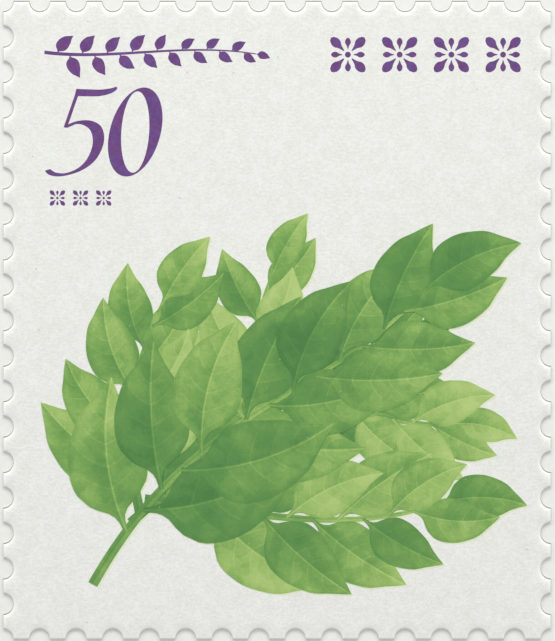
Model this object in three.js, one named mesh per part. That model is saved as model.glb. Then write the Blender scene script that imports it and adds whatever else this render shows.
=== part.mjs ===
// A self-adhesive postage stamp, peeled and ready to stick: a sheet of printing paper with
// a die-cut perforated edge, and the coat of pressure-sensitive adhesive on its back.
// Millimetres, +Z up. The stamp lies on its back with the printed face on top and the top of
// the picture towards +Y. The origin is at the middle of the adhesive's underside.
import * as THREE from "three";

// Driving dimensions
const PITCH_ACROSS = 1.547; // from hole to hole along the top and bottom edges
const PITCH_DOWN = 1.502; // from hole to hole along the left and right edges
const STEPS_ACROSS = 15; // pitches from corner hole to corner hole, across
const STEPS_DOWN = 18; // pitches from corner hole to corner hole, down
const HOLE_RADIUS = 0.44; // of each round hole that the die cuts through the edge
const HALF_ARC_SIDES = 4; // straight sides in each half of an arc
const ADHESIVE_THICKNESS = 0.03;
const PAPER_THICKNESS = 0.1;

// The die cuts holes centred on the edge line, so a half hole is left between two teeth
// and a quarter hole at each corner.
const WIDTH = PITCH_ACROSS * STEPS_ACROSS;
const HEIGHT = PITCH_DOWN * STEPS_DOWN;

// The four edges in the order that a counter-clockwise outline walks them, each with its
// starting corner, its heading, and the pitch and number of its steps.
const EDGES = [
  { corner: [-WIDTH / 2, -HEIGHT / 2], heading: 0, pitch: PITCH_ACROSS, steps: STEPS_ACROSS },
  { corner: [WIDTH / 2, -HEIGHT / 2], heading: Math.PI / 2, pitch: PITCH_DOWN, steps: STEPS_DOWN },
  { corner: [WIDTH / 2, HEIGHT / 2], heading: Math.PI, pitch: PITCH_ACROSS, steps: STEPS_ACROSS },
  { corner: [-WIDTH / 2, HEIGHT / 2], heading: -Math.PI / 2, pitch: PITCH_DOWN, steps: STEPS_DOWN },
];

// The toothed outline: each arc turns clockwise into the paper from its near side to its far
// side, and the straight line that joins one arc to the next is the flat end of a tooth.
function perforatedOutline() {
  const outline = new THREE.Shape();
  for (const { corner, heading, pitch, steps } of EDGES) {
    const along = new THREE.Vector2(Math.cos(heading), Math.sin(heading));
    for (let step = 1; step <= steps; step += 1) {
      const centre = along.clone().multiplyScalar(step * pitch).add(new THREE.Vector2(...corner));
      const turn = step < steps ? Math.PI : Math.PI / 2;
      const start = heading + Math.PI;
      outline.absarc(centre.x, centre.y, HOLE_RADIUS, start, start - turn, true);
    }
  }
  outline.closePath();
  return outline;
}

// One flat layer of the stamp: the outline raised from its underside by its thickness.
function layer(name, underside, thickness, material) {
  const geometry = new THREE.ExtrudeGeometry(perforatedOutline(), {
    depth: thickness,
    bevelEnabled: false,
    curveSegments: HALF_ARC_SIDES,
  });
  const mesh = new THREE.Mesh(geometry, material);
  mesh.name = name;
  mesh.position.z = underside;
  return mesh;
}

const paperWhite = new THREE.MeshStandardMaterial({ color: 0xeaebe6, roughness: 0.85, metalness: 0 });
const adhesiveCream = new THREE.MeshStandardMaterial({ color: 0xe6e1cf, roughness: 0.3, metalness: 0 });

const stamp = new THREE.Group();
stamp.add(
  layer("adhesive_coat", 0, ADHESIVE_THICKNESS, adhesiveCream),
  layer("printed_paper", ADHESIVE_THICKNESS, PAPER_THICKNESS, paperWhite),
);

export default stamp;
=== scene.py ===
# A self-adhesive postage stamp, lying flat with its printed face up: printing paper with a
# die-cut perforated edge, adhesive on its back, and a print of leafy sprigs and ornaments.
# The pieces are shaped in millimetres and brought to metres when they are done.
import math

import bpy
from mathutils import Color, Matrix, Vector


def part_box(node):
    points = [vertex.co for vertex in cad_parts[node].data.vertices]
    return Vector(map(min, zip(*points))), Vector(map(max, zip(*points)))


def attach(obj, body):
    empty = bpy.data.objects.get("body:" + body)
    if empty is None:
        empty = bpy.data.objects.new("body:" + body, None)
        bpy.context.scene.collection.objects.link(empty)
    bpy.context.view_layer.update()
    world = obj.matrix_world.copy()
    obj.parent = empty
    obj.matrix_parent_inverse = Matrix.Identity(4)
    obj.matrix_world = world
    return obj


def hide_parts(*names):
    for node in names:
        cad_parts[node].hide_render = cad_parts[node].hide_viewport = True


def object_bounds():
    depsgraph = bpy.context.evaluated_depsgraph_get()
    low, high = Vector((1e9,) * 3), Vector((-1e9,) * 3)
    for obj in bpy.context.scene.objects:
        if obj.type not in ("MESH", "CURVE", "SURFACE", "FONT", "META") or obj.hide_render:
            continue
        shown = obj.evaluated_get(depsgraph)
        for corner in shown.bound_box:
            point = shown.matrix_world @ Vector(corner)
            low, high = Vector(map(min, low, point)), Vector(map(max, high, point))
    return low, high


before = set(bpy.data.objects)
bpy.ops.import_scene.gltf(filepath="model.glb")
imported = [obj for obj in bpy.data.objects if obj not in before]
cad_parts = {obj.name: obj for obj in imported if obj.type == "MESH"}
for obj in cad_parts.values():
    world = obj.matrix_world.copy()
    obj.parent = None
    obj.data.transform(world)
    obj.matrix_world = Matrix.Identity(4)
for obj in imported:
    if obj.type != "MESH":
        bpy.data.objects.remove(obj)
cad_low, cad_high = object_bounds()
MILLIMETRE = 0.001

# The view and the light: the stamp is seen from straight above through a long lens. A strip
# light beyond its top edge is low enough to show which way each cut edge faces, and a soft
# white surround fills the shade.
VIEW_HEIGHT = 27.138  # of the table, from the top to the bottom of the picture
VIEW_MIDDLE = (0.019, -0.036)
LENS = 200.0
SENSOR = 36.0
NEAREST = 10.0  # what is closer to the lens isn't seen
SURROUND_STRENGTH = 0.64
STRIP_ENERGY = 0.75
STRIP_LENGTH = 500.0
STRIP_WIDTH = 75.0
STRIP_PLACE = Vector((0.0, 225.0, 119.0))

camera_lens = bpy.data.cameras.new("camera")
camera_lens.lens = LENS
camera_lens.sensor_width = SENSOR
camera_lens.clip_start = NEAREST * MILLIMETRE
camera = bpy.data.objects.new("camera", camera_lens)
camera_height = VIEW_HEIGHT * LENS / SENSOR
camera.location = Vector((*VIEW_MIDDLE, camera_height)) * MILLIMETRE + Vector((0.0, 0.0, cad_high.z))
bpy.context.scene.collection.objects.link(camera)
bpy.context.scene.camera = camera

strip_lamp = bpy.data.lights.new("strip_light", "AREA")
strip_lamp.shape = "RECTANGLE"
strip_lamp.size = STRIP_LENGTH * MILLIMETRE
strip_lamp.size_y = STRIP_WIDTH * MILLIMETRE
strip_lamp.energy = STRIP_ENERGY
strip_light = bpy.data.objects.new("strip_light", strip_lamp)
strip_light.location = STRIP_PLACE * MILLIMETRE
strip_light.rotation_euler = (-STRIP_PLACE).to_track_quat("-Z", "Y").to_euler()
bpy.context.scene.collection.objects.link(strip_light)

surround = bpy.data.worlds.new("surround")
surround.use_nodes = True
surround_light = surround.node_tree.nodes["Background"]
surround_light.inputs["Color"].default_value = (1.0, 1.0, 1.0, 1.0)
surround_light.inputs["Strength"].default_value = SURROUND_STRENGTH
bpy.context.scene.world = surround
bpy.context.scene.view_settings.view_transform = "Standard"


# The table: a smooth sheet of matt white card under the stamp, wide enough to fill every view.
# It sets the stage and is no piece of the stamp.
TABLE_HALF_WIDTH = 1500.0
TABLE_DROP = 0.002  # below the stamp, so that the two faces don't coincide
CARD_LIGHT = (240, 241, 236)
CARD_DARK = (236, 237, 232)
CARD_FLECK = 0.3
CARD_SOFTNESS = 0.2
MIX_FIRST = 6  # sockets of a node that mixes colours, which share their names with others
MIX_SECOND = 7
MIX_RESULT = 2


class Amount:
    """A number that a node tree works out, so that its formulas can be written as plain sums."""

    def __init__(self, socket):
        self.socket = socket
        self.tree = socket.id_data

    def __add__(self, other):
        return worked("ADD", self, other)

    def __sub__(self, other):
        return worked("SUBTRACT", self, other)

    def __rsub__(self, other):
        return worked("SUBTRACT", other, self)

    def __mul__(self, other):
        return worked("MULTIPLY", self, other)

    def __truediv__(self, other):
        return worked("DIVIDE", self, other)

    def __mod__(self, other):
        return worked("MODULO", self, other)

    def __lt__(self, other):
        return worked("LESS_THAN", self, other)

    def __gt__(self, other):
        return worked("GREATER_THAN", self, other)

    def __abs__(self):
        return worked("ABSOLUTE", self)

    __radd__ = __add__
    __rmul__ = __mul__


def put(tree, kind, inputs=None, **settings):
    """Adds a node to a tree. Each input takes a value, or the socket or amount that feeds it."""
    node = tree.nodes.new(kind)
    for name, value in settings.items():
        setattr(node, name, value)
    for name, value in (inputs or {}).items():
        source = value.socket if isinstance(value, Amount) else value
        if isinstance(source, bpy.types.NodeSocket):
            tree.links.new(source, node.inputs[name])
        else:
            node.inputs[name].default_value = source
    return node


def worked(operation, *parts):
    """Adds a Math node that works on these parts, one of which is an amount."""
    tree = next(part.tree for part in parts if isinstance(part, Amount))
    return Amount(put(tree, "ShaderNodeMath", dict(enumerate(parts)), operation=operation).outputs[0])


def finish_named(name, roughness, gloss):
    """Starts a finish. Gives the material, its node tree and its surface shader."""
    finish = bpy.data.materials.new(name)
    finish.use_nodes = True
    shader = finish.node_tree.nodes["Principled BSDF"]
    shader.inputs["Roughness"].default_value = roughness
    shader.inputs["Specular IOR Level"].default_value = gloss
    return finish, finish.node_tree, shader


def spot(tree, size=1.0, stretch=(1.0, 1.0, 1.0)):
    """Adds the place of a point on the piece, counted in steps of a size in millimetres."""
    place = put(tree, "ShaderNodeTexCoord").outputs["Object"]
    scale = [1.0 / (size * share * MILLIMETRE) for share in stretch]
    return put(tree, "ShaderNodeMapping", {"Vector": place, "Scale": scale}).outputs[0]


def flecks(tree, size, stretch=(1.0, 1.0, 1.0), detail=3.0):
    """Adds soft noise about a half, with flecks of a size in millimetres."""
    inputs = {"Vector": spot(tree, size, stretch), "Scale": 1.0, "Detail": detail}
    return Amount(put(tree, "ShaderNodeTexNoise", inputs).outputs["Fac"])


def eased(amount, start, end, low=0.0, high=1.0):
    """Adds an S-shaped change from low to high while the amount goes from start to end."""
    inputs = {"Value": amount, "From Min": start, "From Max": end, "To Min": low, "To Max": high}
    return Amount(put(amount.tree, "ShaderNodeMapRange", inputs, interpolation_type="SMOOTHSTEP").outputs[0])


def patchy(noise, softness):
    """Parts noise about a half into patches of 0 and 1, whose borders have a softness."""
    return eased(noise, 0.5 - softness, 0.5 + softness)


def colour(screen):
    """The light that a screen colour, with channels from 0 to 255, stands for."""
    return (*Color([channel / 255 for channel in screen]).from_srgb_to_scene_linear(), 1.0)


def blended(factor, first, second):
    """Adds a blend of two colours, each a screen colour or a socket."""
    ends = [end if isinstance(end, bpy.types.NodeSocket) else colour(end) for end in (first, second)]
    inputs = {"Factor": factor, MIX_FIRST: ends[0], MIX_SECOND: ends[1]}
    return put(factor.tree, "ShaderNodeMix", inputs, data_type="RGBA").outputs[MIX_RESULT]


card, card_tree, card_shader = finish_named("matt_card", roughness=0.95, gloss=0.05)
card_flecks = patchy(flecks(card_tree, CARD_FLECK), CARD_SOFTNESS)
card_tree.links.new(blended(card_flecks, CARD_DARK, CARD_LIGHT), card_shader.inputs["Base Color"])

table_half = TABLE_HALF_WIDTH * MILLIMETRE
table_top = cad_low.z - TABLE_DROP * MILLIMETRE
table_corners = [(x * table_half, y * table_half, table_top) for x, y in ((-1, -1), (1, -1), (1, 1), (-1, 1))]
table_mesh = bpy.data.meshes.new("table")
table_mesh.from_pydata(table_corners, [], [range(len(table_corners))])
table_mesh.materials.append(card)
table = bpy.data.objects.new("table", table_mesh)
bpy.context.scene.collection.objects.link(table)


# The paper: a sheet of white printing paper with a matt coating. The die cuts a row of round
# holes along each edge line, so that half holes are left between flat teeth, and it presses
# the rim of the paper down a little as it cuts. A painted highlight lies on the pressed rim,
# and painted shade on the cut walls.
STEPS_ACROSS = 15  # pitches from corner hole to corner hole, across
STEPS_DOWN = 18  # pitches from corner hole to corner hole, down
HOLE_RADIUS = 0.44
HOLE_SIDES = 48
RIM_WIDTH = 0.33  # how far in from the cut the pressed rim reaches
RIM_DROP = 0.064  # how far the rim falls
RIM_STEPS = 8
WALL_LEAN = 0.034  # how far the die's wedge leans the cut walls back at the top and the bottom
SIDE_LEAN = 0.009  # the same, to the left and right
CUT_SLANT = 0.03  # how far the cut's upper edge lies below its lower edge, as the die is aslant
HALF_STEP = 0.5  # tells a whole number from the next
INSIDE_FACES = 4  # of a lattice, round a point that isn't on its edge
WELD = 1e-6
SHARP_FOLD = math.radians(40)  # faces that meet at a sharper fold than this aren't shaded as one
PAPER_LIGHT = (242, 243, 238)
PAPER_DARK = (225, 226, 220)
PAPER_SOFTNESS = 0.18
PAPER_RELIEF = 0.004
PAPER_FIBRES = [
    (0.35, {"size": 0.12, "stretch": (1.8, 0.8, 1.0)}),
    (0.2, {"size": 0.6}),
    (0.45, {"size": 0.08, "detail": 4.0}),
]
DIRT_GREY = (204, 204, 199)
DIRT_SPECKS = {"spacing": 2.1, "radius": 0.045, "share": 0.22}
SPECK_CORE = 0.6  # the share of a speck's radius where it starts to fade
RIM_HIGHLIGHT = (243, 244, 239)  # painted highlight on the pressed rim
HIGHLIGHT_FROM = 0.001  # depths under the face where the painted highlight starts, and where it is full
HIGHLIGHT_TO = 0.03
WALL_SHADE_DARK = (122, 123, 118)  # painted shade on the cut wall, darkest at its top, standing in for the shadow in the cut
WALL_SHADE_PALE = (172, 173, 168)  # the paler end of the painted shade, at the foot of the wall
WALL_BLUR = 0.003


def tree_with(name, sizes):
    """Starts a tree of Geometry Nodes with named inputs, which it gives as amounts."""
    tree = bpy.data.node_groups.new(name, "GeometryNodeTree")
    for label, kind in sizes.items():
        tree.interface.new_socket(label, in_out="INPUT", socket_type="NodeSocket" + kind)
    tree.interface.new_socket("Geometry", in_out="OUTPUT", socket_type="NodeSocketGeometry")
    sockets = put(tree, "NodeGroupInput").outputs
    return tree, {label: Amount(sockets[label]) for label in sizes}


def vector(tree, x=0.0, y=0.0, z=0.0):
    """Adds a vector made of three amounts."""
    return put(tree, "ShaderNodeCombineXYZ", {"X": x, "Y": y, "Z": z}).outputs[0]


def axes(tree, source):
    """Adds a node that takes a vector apart into three amounts."""
    return [Amount(socket) for socket in put(tree, "ShaderNodeSeparateXYZ", {0: source}).outputs]


def moved(tree, geometry, **places):
    """Adds a node that puts a geometry's points at a Position, or shifts them by an Offset."""
    return put(tree, "GeometryNodeSetPosition", {"Geometry": geometry, **places}).outputs[0]


def welded(tree, geometry, distance):
    """Adds a node that merges points which lie closer than a distance."""
    merge = {"Geometry": geometry, "Distance": distance}
    return put(tree, "GeometryNodeMergeByDistance", merge).outputs[0]


def end_tree(tree, geometry, finish):
    """Ends a tree: its instances become real mesh, which takes its finish."""
    real = put(tree, "GeometryNodeRealizeInstances", {"Geometry": geometry}).outputs[0]
    finished = put(tree, "GeometryNodeSetMaterial", {"Geometry": real, "Material": finish}).outputs[0]
    put(tree, "NodeGroupOutput", {"Geometry": finished})


def shaped(name, tree, sizes):
    """Makes a piece whose shape a tree works out from named sizes."""
    piece = bpy.data.objects.new(name, bpy.data.meshes.new(name))
    bpy.context.scene.collection.objects.link(piece)
    modifier = piece.modifiers.new("shape", "NODES")
    modifier.node_group = tree
    for socket in tree.interface.items_tree:
        if socket.name in sizes:
            modifier[socket.identifier] = sizes[socket.name]
    return piece


def settled(piece):
    """Turns a piece and its modifiers into a plain mesh in metres."""
    evaluated = piece.evaluated_get(bpy.context.evaluated_depsgraph_get())
    mesh = bpy.data.meshes.new_from_object(evaluated)
    piece.modifiers.clear()
    piece.data = mesh
    mesh.name = piece.name
    mesh.transform(Matrix.Scale(MILLIMETRE, 4))
    return piece


sheet_tree, sheet = tree_with("perforated_sheet", {
    "Width": "Float",
    "Height": "Float",
    "Thickness": "Float",
    "Underside": "Float",
    "Steps across": "Int",
    "Steps down": "Int",
    "Hole radius": "Float",
    "Wall lean": "Float",
    "Side lean": "Float",
    "Cut slant": "Float",
    "Rim width": "Float",
    "Rim drop": "Float",
    "Finish": "Material",
})


def rim_round(step):
    """How far in from the cut the round of the rim is, sideways and lengthways, and how high."""
    turn = worked("MINIMUM", worked("MAXIMUM", step, 0.0), RIM_STEPS) * (math.pi / 2 / RIM_STEPS)
    inset = sheet["Rim width"] * (1.0 - worked("COSINE", turn))
    height = sheet["Thickness"] - sheet["Rim drop"] * (1.0 - worked("SINE", turn))
    return sheet["Side lean"] + inset, sheet["Wall lean"] + inset, height


# The slab before the cut, with one level at the foot of its walls and the others round its rim
slab_levels = RIM_STEPS + 1
slab_form = {"Size": (2.0, 2.0, slab_levels), "Vertices X": 2, "Vertices Y": 2, "Vertices Z": slab_levels + 1}
x, y, z = axes(sheet_tree, put(sheet_tree, "GeometryNodeInputPosition").outputs[0])
step = z + (slab_levels / 2 - 1)
inset_x, inset_y, height = rim_round(step)
above_foot = step > -HALF_STEP
slab_place = vector(
    sheet_tree,
    x * (sheet["Width"] / 2 - inset_x * above_foot),
    y * (sheet["Height"] / 2 - inset_y * above_foot) - sheet["Cut slant"] * above_foot,
    height * above_foot,
)
slab_raw = put(sheet_tree, "GeometryNodeMeshCube", slab_form).outputs[0]
slab = welded(sheet_tree, moved(sheet_tree, slab_raw, Position=slab_place), WELD)

# The punch for one hole, which has the same round and goes on above and below the sheet
punch_levels = RIM_STEPS + 2
punch_form = {"Vertices": HOLE_SIDES, "Side Segments": punch_levels, "Radius": 1.0, "Depth": punch_levels}
step = z + (punch_levels / 2 - 1)
inset_x, inset_y, height = rim_round(step)
below_sheet = 1.0 - 2.0 * (step < -HALF_STEP)
above_sheet = step > RIM_STEPS + HALF_STEP
punch_place = vector(
    sheet_tree,
    x * (sheet["Hole radius"] + inset_x * below_sheet),
    y * (sheet["Hole radius"] + inset_y * below_sheet) - sheet["Cut slant"] * below_sheet,
    height * below_sheet + above_sheet * sheet["Thickness"],
)
punch_raw = put(sheet_tree, "GeometryNodeMeshCylinder", punch_form).outputs[0]
punch = welded(sheet_tree, moved(sheet_tree, punch_raw, Position=punch_place), WELD)

lattice = put(sheet_tree, "GeometryNodeMeshGrid", {
    "Size X": sheet["Width"],
    "Size Y": sheet["Height"],
    "Vertices X": sheet["Steps across"] + 1,
    "Vertices Y": sheet["Steps down"] + 1,
}).outputs[0]
faces_around = Amount(put(sheet_tree, "GeometryNodeInputMeshVertexNeighbors").outputs["Face Count"])
edge_line = {"Points": lattice, "Selection": faces_around < INSIDE_FACES, "Instance": punch}
punches = put(sheet_tree, "GeometryNodeInstanceOnPoints", edge_line).outputs[0]
real_punches = put(sheet_tree, "GeometryNodeRealizeInstances", {"Geometry": punches}).outputs[0]
die = {"Mesh 1": slab, "Mesh 2": real_punches}
cut = put(sheet_tree, "GeometryNodeMeshBoolean", die, operation="DIFFERENCE", solver="MANIFOLD").outputs[0]

fold = Amount(put(sheet_tree, "GeometryNodeInputMeshEdgeAngle").outputs["Unsigned Angle"])
all_smooth = {"Geometry": cut, "Shade Smooth": True}
smooth = put(sheet_tree, "GeometryNodeSetShadeSmooth", all_smooth, domain="FACE").outputs[0]
sharp_folds = {"Geometry": smooth, "Selection": fold > SHARP_FOLD, "Shade Smooth": False}
shaded = put(sheet_tree, "GeometryNodeSetShadeSmooth", sharp_folds, domain="EDGE").outputs[0]
lifted = moved(sheet_tree, shaded, Offset=vector(sheet_tree, z=sheet["Underside"]))
end_tree(sheet_tree, lifted, sheet["Finish"])


def layered(tree, layers):
    """Adds layers of noise, each with its share of the sum and the settings of its flecks."""
    return sum(share * flecks(tree, **settings) for share, settings in layers)


def specks(tree, spacing, radius, share):
    """Adds round specks at random places, for that share of the places."""
    inputs = {"Vector": spot(tree, spacing), "Scale": 1.0, "Randomness": 1.0}
    cells = put(tree, "ShaderNodeTexVoronoi", inputs, voronoi_dimensions="2D")
    rim = radius / spacing
    near = eased(Amount(cells.outputs["Distance"]), rim, SPECK_CORE * rim)
    chosen = axes(tree, cells.outputs["Color"])[0] < share
    return near * chosen


def relief(tree, shader, amount, depth):
    """Gives a finish a fine relief of a depth in millimetres."""
    inputs = {"Strength": 1.0, "Distance": depth * MILLIMETRE, "Height": amount}
    tree.links.new(put(tree, "ShaderNodeBump", inputs).outputs[0], shader.inputs["Normal"])


paper_low, paper_high = [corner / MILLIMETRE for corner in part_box("printed_paper")]
paper, paper_tree, paper_shader = finish_named("matt_printing_paper", roughness=0.8, gloss=0.16)
fibres = layered(paper_tree, PAPER_FIBRES)
fibre_white = blended(patchy(fibres, PAPER_SOFTNESS), PAPER_DARK, PAPER_LIGHT)
specked_white = blended(specks(paper_tree, **DIRT_SPECKS), fibre_white, DIRT_GREY)
paper_height = axes(paper_tree, spot(paper_tree))[2]
# Painted highlight: the pressed rim is coloured a lighter white, as a brightly lit edge.
rim_highlight_mask = eased(paper_height, paper_high.z - HIGHLIGHT_FROM, paper_high.z - HIGHLIGHT_TO)
paper_face = blended(rim_highlight_mask, specked_white, RIM_HIGHLIGHT)
# Painted shade: the cut wall below the rim is coloured grey, darkest at its top, as a dark line of shadow
# round every cut.
wall_height = paper_high.z - RIM_DROP
wall_shade_mask = eased(paper_height, wall_height + WALL_BLUR, wall_height - WALL_BLUR)
painted_wall_shade = blended(eased(paper_height, paper_low.z, wall_height), WALL_SHADE_PALE, WALL_SHADE_DARK)
paper_tree.links.new(blended(wall_shade_mask, paper_face, painted_wall_shade), paper_shader.inputs["Base Color"])
relief(paper_tree, paper_shader, fibres, PAPER_RELIEF)

sheet_sizes = {
    "Width": paper_high.x - paper_low.x,
    "Height": paper_high.y - paper_low.y,
    "Steps across": STEPS_ACROSS,
    "Steps down": STEPS_DOWN,
    "Hole radius": HOLE_RADIUS,
}
stamp_paper = settled(shaped("stamp_paper", sheet_tree, {
    **sheet_sizes,
    "Thickness": paper_high.z - paper_low.z,
    "Underside": paper_low.z,
    "Wall lean": WALL_LEAN,
    "Side lean": SIDE_LEAN,
    "Cut slant": CUT_SLANT,
    "Rim width": RIM_WIDTH,
    "Rim drop": RIM_DROP,
    "Finish": paper,
}))
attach(stamp_paper, "root")
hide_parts("printed_paper")


# The adhesive: a thin cream coat of pressure-sensitive adhesive, rolled over the whole back of
# the paper and cut with it by the same die, with straight walls.
ADHESIVE_LIGHT = (231, 226, 209)
ADHESIVE_DARK = (223, 217, 197)
ADHESIVE_SOFTNESS = 0.15
ADHESIVE_RELIEF = 0.0015
ROLLER_MARKS = [
    (0.45, {"size": 0.25, "stretch": (1.0, 9.0, 1.0)}),
    (0.35, {"size": 1.5}),
    (0.2, {"size": 0.1}),
]

adhesive, adhesive_tree, adhesive_shader = finish_named("rolled_adhesive", roughness=0.3, gloss=0.5)
roller_marks = layered(adhesive_tree, ROLLER_MARKS)
cream = blended(patchy(roller_marks, ADHESIVE_SOFTNESS), ADHESIVE_DARK, ADHESIVE_LIGHT)
adhesive_tree.links.new(cream, adhesive_shader.inputs["Base Color"])
relief(adhesive_tree, adhesive_shader, roller_marks, ADHESIVE_RELIEF)

coat_low, coat_high = [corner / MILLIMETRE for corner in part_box("adhesive_coat")]
adhesive_back = settled(shaped("adhesive_back", sheet_tree, {
    **sheet_sizes,
    "Thickness": coat_high.z - coat_low.z,
    "Underside": coat_low.z,
    "Wall lean": 0.0,
    "Side lean": 0.0,
    "Cut slant": 0.0,
    "Rim width": 0.0,
    "Rim drop": 0.0,
    "Finish": adhesive,
}))
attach(adhesive_back, "root")
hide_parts("adhesive_coat")


# The yellow print: six leafy sprigs in a pale yellow ink, the first to be printed, listed from
# the bottom film of ink to the top one. Each has a tapering stem, leaves to its left and right
# by turns, and one leaf at its tip.
FILM_THICKNESS = 0.002
FILM_WELD = 1e-5
TIP_WELD = 1e-4  # on a leaf one unit long, whose two sides meet at its tip
LEVELS = 5  # of film, which the leaves of a sprig take by turns
YELLOW_STEP = 0.0001  # from one level to the next
YELLOW_SHIFT = (0.062, -0.062)  # as the yellow plate is a little out of register
YELLOW_LIGHT = (227, 237, 202)
YELLOW_DARK = (219, 230, 188)
YELLOW_FLECK = 0.2
YELLOW_SOFTNESS = 0.15
LEAF_OUTLINE = [(0.0, 0.06), (0.08, 0.09), (0.22, 0.68), (0.41, 1.0), (0.64, 0.84), (0.86, 0.34), (1.0, 0.0)]
LEAF_BENDS = [0.35, 0.65, -0.35, -0.65]  # from foot to tip, two for each side of a stem
LEAF_SHAPE = 0.5  # greatest width, for each unit of length
LEAF_STEPS = (28, 8)
LEAF_SHORTENING = 0.36  # from the first leaf to the last
LEAF_CLOSING = 0.35  # how much less the last leaves spread
HEADING_PLAY = 0.13
LENGTH_PLAY = (0.92, 1.1)
TONE_PLAY = 0.24
SEED_STEP = 20  # from one of a sprig's random draws to the next
CHANCE_LOW = 2  # sockets of a node that draws random numbers, which share their names with others
CHANCE_HIGH = 3
CHANCE_RESULT = 1
STEM_STEPS = (64, 2)
STEM_TAPER = 0.7
STEM_TONE = 0.85
SPRIG_STEM = {"Stem width": 0.42, "Bare foot": 0.14, "Spread": 0.95}
SPRIGS = [
    {
        "Foot": (-6.2, -8.6, 0.0),
        "Foot handle": (-2.4, -5.2, 0.0),
        "Tip handle": (1.0, -3.6, 0.0),
        "Tip": (5.0, -1.6, 0.0),
        "Leaves": 12,
        "Leaf length": 5.2,
        "Tone": 0.95,
        "Seed": 17,
    },
    {
        "Foot": (-1.6, -5.3, 0.0),
        "Foot handle": (-0.6, -3.0, 0.0),
        "Tip handle": (-1.4, -1.0, 0.0),
        "Tip": (-0.2, 1.9, 0.0),
        "Leaves": 7,
        "Leaf length": 4.9,
        "Tone": 0.42,
        "Seed": 11,
    },
    {
        "Foot": (1.6, -3.6, 0.0),
        "Foot handle": (4.0, -3.8, 0.0),
        "Tip handle": (5.4, -4.6, 0.0),
        "Tip": (7.4, -4.4, 0.0),
        "Leaves": 7,
        "Leaf length": 4.6,
        "Tone": 0.46,
        "Seed": 14,
    },
    {
        "Foot": (-5.6, -7.6, 0.0),
        "Foot handle": (-1.0, -8.2, 0.0),
        "Tip handle": (3.0, -9.1, 0.0),
        "Tip": (6.8, -7.8, 0.0),
        "Leaves": 11,
        "Leaf length": 5.7,
        "Tone": 0.6,
        "Seed": 5,
    },
    {
        "Foot": (-5.8, -8.2, 0.0),
        "Foot handle": (-6.5, -5.0, 0.0),
        "Tip handle": (-6.3, -2.4, 0.0),
        "Tip": (-4.9, 0.6, 0.0),
        "Leaves": 9,
        "Leaf length": 5.2,
        "Tone": 0.54,
        "Seed": 8,
    },
    {
        "Foot": (-7.8, -11.2, 0.0),
        "Foot handle": (-3.5, -3.5, 0.0),
        "Tip handle": (2.0, -3.5, 0.0),
        "Tip": (6.2, 1.2, 0.0),
        "Leaves": 15,
        "Leaf length": 6.9,
        "Tone": 0.75,
        "Seed": 3,
    },
]


def joined(tree, parts):
    """Adds a node that joins geometries."""
    join = tree.nodes.new("GeometryNodeJoinGeometry")
    for part in parts:
        tree.links.new(part, join.inputs[0])
    return join.outputs[0]


def noted(tree, geometry, name, amount, domain="POINT"):
    """Adds a node that stores an amount on a geometry under a name."""
    inputs = {"Geometry": geometry, "Name": name, "Value": amount}
    return put(tree, "GeometryNodeStoreNamedAttribute", inputs, domain=domain).outputs[0]


def ribbon(tree, steps_along, steps_across):
    """Adds a flat grid, and how far each point is along it, from 0 to 1, and across it, from -1 to 1."""
    sizes = {"Size X": 1.0, "Size Y": 2.0, "Vertices X": steps_along + 1, "Vertices Y": steps_across + 1}
    grid = put(tree, "GeometryNodeMeshGrid", sizes).outputs[0]
    x, across, _ = axes(tree, put(tree, "GeometryNodeInputPosition").outputs[0])
    along = x + 0.5
    return noted(tree, noted(tree, grid, "along", along), "across", across), along, across


def blade(tree, outline, shape, bend, steps):
    """Adds a flat leaf one unit long, with its foot at the origin, that bends as it runs along X."""
    grid, along, across = ribbon(tree, *steps)
    profile = put(tree, "ShaderNodeFloatCurve", {"Value": along})
    points = profile.mapping.curves[0].points
    points[0].location = outline[0]
    points[-1].location = outline[-1]
    for share, width in outline[1:-1]:
        points.new(share, width)
    profile.mapping.update()
    off_rib = across * Amount(profile.outputs[0]) * (shape / 2)
    heading = along * bend
    sine = worked("SINE", heading)
    cosine = worked("COSINE", heading)
    x = sine / bend - sine * off_rib
    y = (1.0 - cosine) / bend + cosine * off_rib
    leaf = moved(tree, noted(tree, grid, "off_rib", off_rib), Position=vector(tree, x, y))
    return welded(tree, leaf, TIP_WELD)


def film(tree, flat, rise):
    """Raises flat faces off the paper, each by its own rise, which makes them closed films of ink."""
    lift = {"Mesh": flat, "Offset": vector(tree, z=rise), "Offset Scale": 1.0, "Individual": False}
    raised = put(tree, "GeometryNodeExtrudeMesh", lift).outputs[0]
    underside = put(tree, "GeometryNodeFlipFaces", {"Mesh": flat}).outputs[0]
    return welded(tree, joined(tree, [raised, underside]), FILM_WELD)


def chance(tree, low, high, seed):
    """Adds a random amount between two limits for each point."""
    limits = {CHANCE_LOW: low, CHANCE_HIGH: high, "Seed": seed}
    return Amount(put(tree, "FunctionNodeRandomValue", limits, data_type="FLOAT").outputs[CHANCE_RESULT])


sprig_tree, sprig = tree_with("leafy_sprig", {
    "Foot": "Vector",
    "Foot handle": "Vector",
    "Tip handle": "Vector",
    "Tip": "Vector",
    "Leaves": "Int",
    "Leaf length": "Float",
    "Stem width": "Float",
    "Bare foot": "Float",
    "Spread": "Float",
    "Tone": "Float",
    "Seed": "Int",
    "Shift": "Vector",
    "Rise": "Float",
    "Level step": "Float",
    "Finish": "Material",
})
stem_line = put(sprig_tree, "GeometryNodeCurvePrimitiveBezierSegment", {
    "Resolution": STEM_STEPS[0],
    "Start": sprig["Foot"],
    "Start Handle": sprig["Foot handle"],
    "End Handle": sprig["Tip handle"],
    "End": sprig["Tip"],
}).outputs[0]

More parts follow.
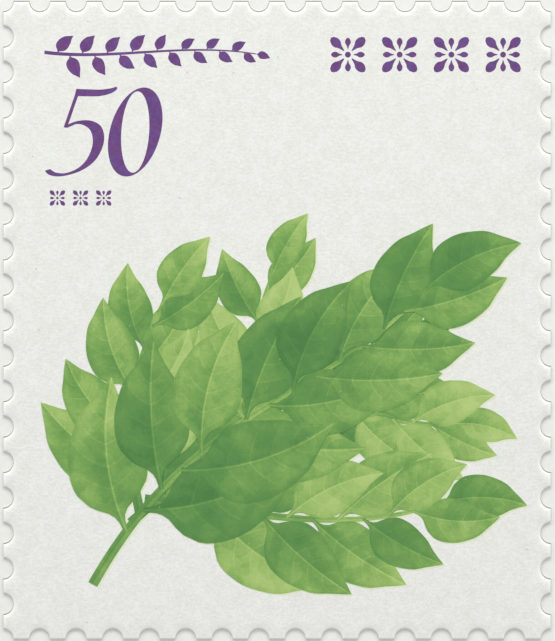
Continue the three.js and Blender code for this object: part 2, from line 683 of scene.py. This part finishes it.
stem_grid, stem_along, stem_across = ribbon(sprig_tree, *STEM_STEPS)
stem_place = {"Curves": stem_line, "Factor": stem_along}
stem_point = put(sprig_tree, "GeometryNodeSampleCurve", stem_place, mode="FACTOR")
ahead_x, ahead_y, _ = axes(sprig_tree, stem_point.outputs["Tangent"])
off_line = stem_across * (1.0 - STEM_TAPER * stem_along) * sprig["Stem width"] / 2
toned_grid = noted(sprig_tree, stem_grid, "tone", STEM_TONE)
stem = moved(
    sprig_tree,
    noted(sprig_tree, toned_grid, "rise", sprig["Rise"]),
    Position=stem_point.outputs["Position"],
    Offset=vector(sprig_tree, ahead_y * off_line * -1.0, ahead_x * off_line),
)

leafy_part = {"Curve": stem_line, "Start": sprig["Bare foot"], "End": 1.0}
leafy_line = put(sprig_tree, "GeometryNodeTrimCurve", leafy_part, mode="FACTOR").outputs[0]
buds = put(sprig_tree, "GeometryNodeCurveToPoints", {"Curve": leafy_line, "Count": sprig["Leaves"]})
number = Amount(put(sprig_tree, "GeometryNodeInputIndex").outputs[0])
last_number = sprig["Leaves"] - 1
share = number / last_number
below_tip = number + HALF_STEP < last_number
to_the_right = number % 2
spread = (1.0 - 2.0 * to_the_right) * (1.0 - LEAF_CLOSING * share) * below_tip * sprig["Spread"]
heading_draw = chance(sprig_tree, -HEADING_PLAY, HEADING_PLAY, sprig["Seed"])
length_draw = chance(sprig_tree, *LENGTH_PLAY, sprig["Seed"] + SEED_STEP)
bend_draw = chance(sprig_tree, 0.0, 1.0, sprig["Seed"] + 2 * SEED_STEP)
tone_draw = chance(sprig_tree, -TONE_PLAY, TONE_PLAY, sprig["Seed"] + 3 * SEED_STEP)
ahead_x, ahead_y, _ = axes(sprig_tree, buds.outputs["Tangent"])
leaf_heading = worked("ARCTAN2", ahead_y, ahead_x) + spread + heading_draw
leaf_kinds = []
for bend in LEAF_BENDS:
    leaf = blade(sprig_tree, LEAF_OUTLINE, LEAF_SHAPE, bend, LEAF_STEPS)
    leaf_kinds.append(put(sprig_tree, "GeometryNodeGeometryToInstance", {"Geometry": leaf}).outputs[0])
leaf_copies = put(sprig_tree, "GeometryNodeInstanceOnPoints", {
    "Points": buds.outputs["Points"],
    "Instance": joined(sprig_tree, leaf_kinds),
    "Pick Instance": True,
    "Instance Index": 2.0 * to_the_right + worked("ROUND", bend_draw),
    "Rotation": vector(sprig_tree, z=leaf_heading),
    "Scale": sprig["Leaf length"] * (1.0 - LEAF_SHORTENING * share) * length_draw,
}).outputs[0]
leaf_rise = sprig["Rise"] + (number % LEVELS + 1.0) * sprig["Level step"]
toned_copies = noted(sprig_tree, leaf_copies, "tone", sprig["Tone"] + tone_draw, domain="INSTANCE")
raised_copies = noted(sprig_tree, toned_copies, "rise", leaf_rise, domain="INSTANCE")
leaves = put(sprig_tree, "GeometryNodeRealizeInstances", {"Geometry": raised_copies}).outputs[0]
rise = Amount(put(sprig_tree, "GeometryNodeInputNamedAttribute", {"Name": "rise"}).outputs[0])
inked = film(sprig_tree, joined(sprig_tree, [stem, leaves]), rise)
end_tree(sprig_tree, moved(sprig_tree, inked, Offset=sprig["Shift"]), sprig["Finish"])

print_bed = paper_high.z - FILM_THICKNESS / 2


def print_sprigs(ink, finish, shift, level_step, rise):
    """Prints the sprigs in one ink, from a rise above the bed up, and gives the next film's rise."""
    for position, plan in enumerate(SPRIGS, start=1):
        placing = {"Shift": (*shift, print_bed), "Rise": rise, "Level step": level_step, "Finish": finish}
        sizes = {**SPRIG_STEM, **plan, **placing}
        printed_sprig = settled(shaped(f"{ink}_sprig_{position}", sprig_tree, sizes))
        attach(printed_sprig, "root")
        rise += level_step * (LEVELS + 1)
    return rise


yellow, yellow_tree, yellow_shader = finish_named("yellow_wash", roughness=0.75, gloss=0.14)
yellow_patches = patchy(flecks(yellow_tree, YELLOW_FLECK), YELLOW_SOFTNESS)
yellow_tree.links.new(blended(yellow_patches, YELLOW_DARK, YELLOW_LIGHT), yellow_shader.inputs["Base Color"])
green_rise = print_sprigs("yellow", yellow, YELLOW_SHIFT, YELLOW_STEP, FILM_THICKNESS)


# The green print: the same sprigs in washes of green ink, printed over the yellow, so that a
# pale fringe of yellow shows to the lower right of each leaf. The ink lies deeper in the leaf's
# shaded half, at its foot and along its rim, and leaves the rib and the veins pale.
GREEN_STEP = 0.0004  # from one level of film to the next
GREENS = [
    (0.0, (181, 205, 128)),
    (0.24, (158, 190, 108)),
    (0.48, (122, 166, 88)),
    (0.68, (101, 149, 80)),
    (0.84, (91, 141, 77)),
    (1.0, (80, 129, 70)),
]
DEEPEST = 1.25  # the depth of ink at the dark end of the greens
FOOT_DEPTH = 0.09
TIP_PALING = 0.38
SHADE_DEPTH = 0.26
POOL_FROM = 0.75  # of the way from rib to rim
POOL_DEPTH = 0.15
RIB_WIDTH = (0.004, 0.009)  # of its pale core, and to where it fades, on a leaf one unit long
RIB_DEPTH = 0.24
VEINS = 7
VEIN_SLANT = 0.17
VEIN_CURVE = 1.35  # above 1, the veins curve towards the tip
VEIN_WIDTH = 0.0094
VEIN_DEPTH = 0.14
VEIN_FADE = 0.3  # of the way from rib to rim, where a vein starts to fade
PANEL_DEPTH = 0.12  # of the panels between the veins
TONE_SPREAD = 100.0  # sets the panels of leaves of like tone apart
WASHES = {"size": 2.4, "depth": 0.8, "detail": 2.0}
MOTTLE = {"size": 0.5, "depth": 0.3}
GRAIN = {"size": 0.14, "depth": 0.26}
BLOOMS = {"size": 0.9, "detail": 2.0}
BLOOM_EDGE = (0.47, 0.55)
BLOOM_DEPTH = 0.05
SCREEN_PITCH = 0.15
SCREEN_DEPTH = 0.03
BARE_SPECKS = {"spacing": 1.3, "radius": 0.036, "share": 0.2}
BARE_PALENESS = 0.22


def stored(tree, name):
    """Adds a node that reads an amount stored on the mesh."""
    return Amount(put(tree, "ShaderNodeAttribute", attribute_name=name).outputs["Fac"])


def wavering(tree, size, depth, detail=3.0):
    """Adds noise about nothing, with flecks of a size in millimetres and a depth of ink."""
    return (flecks(tree, size, detail=detail) - 0.5) * depth


def dot_screen(tree, pitch):
    """Adds the dots of a printing screen at 45 degrees, from -1 to 1."""
    x, y, _ = axes(tree, spot(tree, pitch / math.tau))
    return worked("SINE", (x + y) * math.sqrt(0.5)) * worked("SINE", (x - y) * math.sqrt(0.5))


def ramped(amount, stops):
    """Adds a colour ramp through screen colours at the given places."""
    ramp = put(amount.tree, "ShaderNodeValToRGB", {"Fac": amount})
    elements = ramp.color_ramp.elements
    while len(elements) < len(stops):
        elements.new(0.5)
    for element, (place, screen) in zip(elements, stops):
        element.position = place
        element.color = colour(screen)
    return ramp.outputs["Color"]


green, green_tree, green_shader = finish_named("green_wash", roughness=0.75, gloss=0.14)
along = stored(green_tree, "along")
across = stored(green_tree, "across")
tone = stored(green_tree, "tone")
from_rib = abs(across)
shade = (across > 0.0) * (1.0 - from_rib) * SHADE_DEPTH
pool = eased(from_rib, POOL_FROM, 1.0) * POOL_DEPTH
paling = FOOT_DEPTH - along * TIP_PALING
rib_core, rib_fade = RIB_WIDTH
rib = eased(abs(stored(green_tree, "off_rib")), rib_fade, rib_core) * RIB_DEPTH
vein_number = (along - worked("POWER", from_rib, VEIN_CURVE) * VEIN_SLANT) * VEINS
off_panel = abs(worked("FRACT", vein_number) - 0.5) / VEINS
panel_half = 0.5 / VEINS
vein_line = eased(off_panel, panel_half - VEIN_WIDTH, panel_half)
veins = vein_line * eased(from_rib, 1.0, VEIN_FADE) * VEIN_DEPTH
panel = vector(green_tree, worked("FLOOR", vein_number), tone * TONE_SPREAD, across > 0.0)
panel_draw = Amount(put(green_tree, "ShaderNodeTexWhiteNoise", {"Vector": panel}).outputs["Value"])
panels = (panel_draw - 0.5) * PANEL_DEPTH
blooms = eased(flecks(green_tree, **BLOOMS), *BLOOM_EDGE, -BLOOM_DEPTH, BLOOM_DEPTH)
unevenness = wavering(green_tree, **WASHES) + wavering(green_tree, **MOTTLE) + wavering(green_tree, **GRAIN)
screen = dot_screen(green_tree, SCREEN_PITCH) * SCREEN_DEPTH
depth = tone + shade + pool + paling + panels - veins - rib + blooms + unevenness + screen
bare_specks = specks(green_tree, **BARE_SPECKS) * BARE_PALENESS
green_print = blended(bare_specks, ramped(depth / DEEPEST, GREENS), PAPER_LIGHT)
green_tree.links.new(green_print, green_shader.inputs["Base Color"])
print_sprigs("green", green, (0.0, 0.0), GREEN_STEP, green_rise)


# The numeral: a plain slanted number in violet ink, drawn as with a broad pen, so that its
# strokes are thick down the sides and thin over the top and the foot.
NUMERAL_HEIGHT = 3.77
NUMERAL_FOOT = (-9.85, 6.06)
NUMERAL_SLANT = 0.2
PEN_HOLD = math.radians(14)
PEN_PRESS = 8  # how soon the pen gets its full pressure
PEN_LIFT = 3  # how late it is lifted
STROKE_STEPS = 12
STROKE_CORNERS = 4  # of a section through the film
# Each stroke has its path, the pen's half widths along and across its edge, and the pressure
# on it at the start and the end. Sizes are shares of the numeral's height.
FIVE = [
    {
        "path": [
            (0.125, 0.55), (0.24, 0.605), (0.37, 0.60), (0.48, 0.525), (0.53, 0.37),
            (0.49, 0.195), (0.38, 0.08), (0.22, 0.022), (0.09, 0.03), (0.02, 0.075),
        ],
        "pen": (0.066, 0.02),
        "pressure": (0.5, 0.45),
    },
    {
        "path": [(0.16, 0.945), (0.28, 0.94), (0.44, 0.94), (0.56, 0.965), (0.615, 1.0)],
        "pen": (0.04, 0.04),
        "pressure": (1.0, 0.3),
    },
    {"path": [(0.185, 0.955), (0.125, 0.55)], "pen": (0.02, 0.02), "pressure": (1.0, 1.0)},
]
ZERO_MIDDLE = Vector((0.92, 0.5))
ZERO_OUTSIDE = Vector((0.29, 0.5))
ZERO_INSIDE = Vector((0.155, 0.462))
ZERO_TILT = math.radians(9)
ZERO_SIDES = 90
VIOLET_STEP = 0.0004  # from one level of film to the next
VIOLET_BLUE = (110, 82, 145)
VIOLET_RED = (119, 76, 129)
VIOLET_DARK = (103, 68, 123)
VIOLET_HUE_SIZE = 0.45
VIOLET_HUE_SOFTNESS = 0.12
VIOLET_LAYERS = [(0.5, {"size": 0.3}), (0.5, {"size": 0.1})]
VIOLET_SOFTNESS = 0.14


def smooth_path(points):
    """Points along a smooth curve through the given points."""
    corners = [Vector(point) for point in (points[0], *points, points[-1])]
    path = []
    for before, start, end, after in zip(corners, corners[1:], corners[2:], corners[3:]):
        for step in range(STROKE_STEPS):
            share = step / STROKE_STEPS
            slope = (end - before) * share
            turn = (2 * before - 5 * start + 4 * end - after) * share**2
            twist = (3 * start - before - 3 * end + after) * share**3
            path.append(start + (slope + turn + twist) / 2)
    return [*path, corners[-1]]


def pen_edges(path, pen, pressure):
    """The two edges of a stroke that an oval pen, held at a slant, draws along a path."""
    long_way = Vector((math.cos(PEN_HOLD), math.sin(PEN_HOLD)))
    short_way = Vector((-long_way.y, long_way.x))
    light_start, light_end = [1.0 - press for press in pressure]
    lefts, rights = [], []
    for step, point in enumerate(path):
        share = step / (len(path) - 1)
        ahead = path[min(step + 1, len(path) - 1)] - path[max(step - 1, 0)]
        sideways = Vector((-ahead.y, ahead.x)).normalized()
        press = 1.0 - light_start * (1.0 - share) ** PEN_PRESS - light_end * share**PEN_LIFT
        reach = Vector((sideways.dot(long_way) * pen[0], sideways.dot(short_way) * pen[1]))
        edge = (long_way * reach.x * pen[0] + short_way * reach.y * pen[1]) * (press / reach.length)
        lefts.append(point + edge)
        rights.append(point - edge)
    return lefts, rights


def oval(middle, radii, tilt):
    """Points round a tilted oval."""
    turns = [math.tau * side / ZERO_SIDES for side in range(ZERO_SIDES)]
    spin = Matrix.Rotation(tilt, 2)
    return [middle + spin @ Vector((radii.x * math.cos(turn), radii.y * math.sin(turn))) for turn in turns]


def on_stamp(point, rise):
    """The place on the stamp of a point of the numeral."""
    slanted = Vector((point.x + NUMERAL_SLANT * point.y, point.y)) * NUMERAL_HEIGHT
    return (*(slanted + Vector(NUMERAL_FOOT)), print_bed + rise)


def stroke_film(lefts, rights, closed, rise):
    """The points and faces of a closed film of ink between the two edges of a stroke."""
    points = []
    for left, right in zip(lefts, rights):
        points += [on_stamp(left, 0.0), on_stamp(right, 0.0), on_stamp(right, rise), on_stamp(left, rise)]
    count = len(lefts)
    faces = []
    for step in range(count if closed else count - 1):
        here = STROKE_CORNERS * step
        there = STROKE_CORNERS * ((step + 1) % count)
        for side in range(STROKE_CORNERS):
            other = (side + 1) % STROKE_CORNERS
            faces.append((here + side, there + side, there + other, here + other))
    if not closed:
        last = STROKE_CORNERS * (count - 1)
        faces.append((0, 1, 2, 3))
        faces.append((last + 3, last + 2, last + 1, last))
    return points, faces


violet, violet_tree, violet_shader = finish_named("violet_ink", roughness=0.7, gloss=0.16)
hue_patches = patchy(flecks(violet_tree, VIOLET_HUE_SIZE), VIOLET_HUE_SOFTNESS)
violet_hue = blended(hue_patches, VIOLET_BLUE, VIOLET_RED)
even_ink = patchy(layered(violet_tree, VIOLET_LAYERS), VIOLET_SOFTNESS)
violet_tree.links.new(blended(even_ink, VIOLET_DARK, violet_hue), violet_shader.inputs["Base Color"])

strokes = []
for stroke in FIVE:
    lefts, rights = pen_edges(smooth_path(stroke["path"]), stroke["pen"], stroke["pressure"])
    strokes.append((lefts, rights, False))
strokes.append((oval(ZERO_MIDDLE, ZERO_INSIDE, ZERO_TILT), oval(ZERO_MIDDLE, ZERO_OUTSIDE, 0.0), True))
numeral_points = []
numeral_faces = []
for layer, (lefts, rights, closed) in enumerate(strokes):
    points, faces = stroke_film(lefts, rights, closed, FILM_THICKNESS + layer * VIOLET_STEP)
    numeral_faces += [[len(numeral_points) + corner for corner in face] for face in faces]
    numeral_points += points
numeral_mesh = bpy.data.meshes.new("violet_numeral")
numeral_mesh.from_pydata(numeral_points, [], numeral_faces)
numeral_mesh.materials.append(violet)
violet_numeral = bpy.data.objects.new("violet_numeral", numeral_mesh)
bpy.context.scene.collection.objects.link(violet_numeral)
settled(violet_numeral)
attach(violet_numeral, "root")


# The branch: an ornament in violet ink above the numeral, a thin stem that sways from left to
# right with small leaves along it.
BRANCH = {
    "Foot": (-9.85, 11.32, 0.0),
    "Foot handle": (-7.0, 10.95, 0.0),
    "Tip handle": (-4.0, 11.75, 0.0),
    "Tip": (-0.9, 11.25, 0.0),
    "Leaves": 17,
    "Leaf length": 1.05,
    "Stem width": 0.15,
    "Bare foot": 0.06,
    "Spread": 1.3,
    "Seed": 2,
}

violet_branch = settled(shaped("violet_branch", sprig_tree, {
    **BRANCH,
    "Shift": (0.0, 0.0, print_bed),
    "Rise": FILM_THICKNESS,
    "Level step": VIOLET_STEP,
    "Finish": violet,
}))
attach(violet_branch, "root")


# The fleurons: rows of small flowers in violet ink, four to the right of the branch and three
# tiny ones under the numeral. Each has four long petals, four short ones and an eye.
FLEURON_ROWS = {
    "violet_fleurons": {"First": (3.0, 11.22, 0.0), "Count": 4, "Pitch": 2.19, "Petal length": 0.78},
    "violet_florets": {"First": (-9.3, 5.15, 0.0), "Count": 3, "Pitch": 0.98, "Petal length": 0.34},
}
PETALS = 8
PETAL_OUTLINE = [(0.0, 0.1), (0.3, 0.45), (0.62, 1.0), (0.86, 0.72), (1.0, 0.0)]
PETAL_SHAPE = 0.5
PETAL_BEND = 0.001
PETAL_STEPS = (14, 2)
# Sizes of the flower's parts, for each unit of a long petal's length.
SHORT_PETAL = 0.62
RING_RADIUS = 0.3
EYE_RADIUS = 0.16
EYE_SIDES = 24

fleuron_tree, fleuron = tree_with("fleuron_row", {
    "First": "Vector",
    "Count": "Int",
    "Pitch": "Float",
    "Petal length": "Float",
    "Bed": "Float",
    "Finish": "Material",
})
petal = blade(fleuron_tree, PETAL_OUTLINE, PETAL_SHAPE, PETAL_BEND, PETAL_STEPS)
ring_form = {"Vertices": PETALS, "Radius": fleuron["Petal length"] * RING_RADIUS}
petal_ring = put(fleuron_tree, "GeometryNodeMeshCircle", ring_form).outputs[0]
number = Amount(put(fleuron_tree, "GeometryNodeInputIndex").outputs[0])
petals = put(fleuron_tree, "GeometryNodeInstanceOnPoints", {
    "Points": petal_ring,
    "Instance": petal,
    "Rotation": vector(fleuron_tree, z=number * math.tau / PETALS),
    "Scale": fleuron["Petal length"] * (SHORT_PETAL + (1.0 - SHORT_PETAL) * (number % 2)),
}).outputs[0]
eye_form = {"Vertices": EYE_SIDES, "Radius": fleuron["Petal length"] * EYE_RADIUS}
eye = put(fleuron_tree, "GeometryNodeMeshCircle", eye_form, fill_type="NGON").outputs[0]
flower_parts = joined(fleuron_tree, [petals, eye])
flower = put(fleuron_tree, "GeometryNodeGeometryToInstance", {"Geometry": flower_parts}).outputs[0]
flower_row = put(fleuron_tree, "GeometryNodeMeshLine", {
    "Count": fleuron["Count"],
    "Start Location": fleuron["First"],
    "Offset": vector(fleuron_tree, fleuron["Pitch"]),
}).outputs[0]
flower_places = {"Points": flower_row, "Instance": flower}
flowers = put(fleuron_tree, "GeometryNodeInstanceOnPoints", flower_places).outputs[0]
real_flowers = put(fleuron_tree, "GeometryNodeRealizeInstances", {"Geometry": flowers}).outputs[0]
flower_film = film(fleuron_tree, real_flowers, FILM_THICKNESS)
laid = moved(fleuron_tree, flower_film, Offset=vector(fleuron_tree, z=fleuron["Bed"]))
end_tree(fleuron_tree, laid, fleuron["Finish"])

for name, row in FLEURON_ROWS.items():
    fleurons = settled(shaped(name, fleuron_tree, {**row, "Bed": print_bed, "Finish": violet}))
    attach(fleurons, "root")
